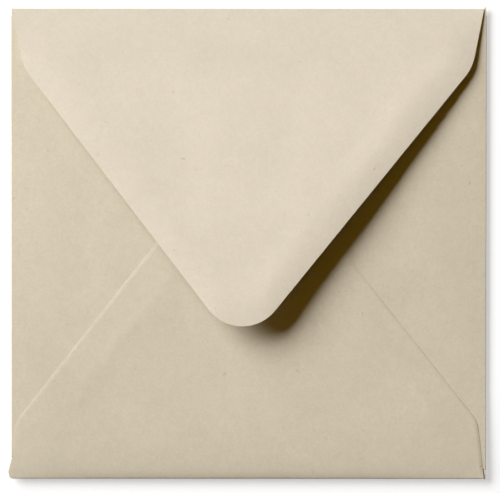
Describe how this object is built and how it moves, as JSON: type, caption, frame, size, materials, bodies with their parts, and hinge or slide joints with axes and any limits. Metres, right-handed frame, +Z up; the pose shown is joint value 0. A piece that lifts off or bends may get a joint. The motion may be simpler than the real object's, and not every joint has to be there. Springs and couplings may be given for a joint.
{
  "type": "envelope",
  "caption": "Square greeting-card envelope of cream paper: a pocket closed by pointed side and bottom flaps, with a rounded V seal flap that turns on the top fold.",
  "frame": {"origin": "middle of the body on the surface that it lies on, under the address side", "axes": "+Z up out of the back, +Y toward the top fold that the seal flap turns on, +X to the right seen from the back"},
  "size_m": [0.157, 0.1551, 0.0081],
  "materials": {
    "paper": "matte",
    "gum": "satin"
  },
  "bodies": {
    "pocket": {"front_panel": "paper", "left_side_flap": "paper", "right_side_flap": "paper", "bottom_flap": "paper", "fold_left": "paper", "fold_right": "paper", "fold_bottom": "paper", "fold_top": "paper", "seam_gum_left": "gum", "seam_gum_right": "gum"},
    "closing_flap": {"seal_flap": "paper", "seal_gum": "gum"}
  },
  "joints": [
    {"name": "seal_flap_hinge", "type": "hinge", "parent": "pocket", "child": "closing_flap", "pos_m": [0, 0.07693, 0.00027], "axis": [-1, 0, 0], "range_deg": [-3.1, 172]}
  ]
}
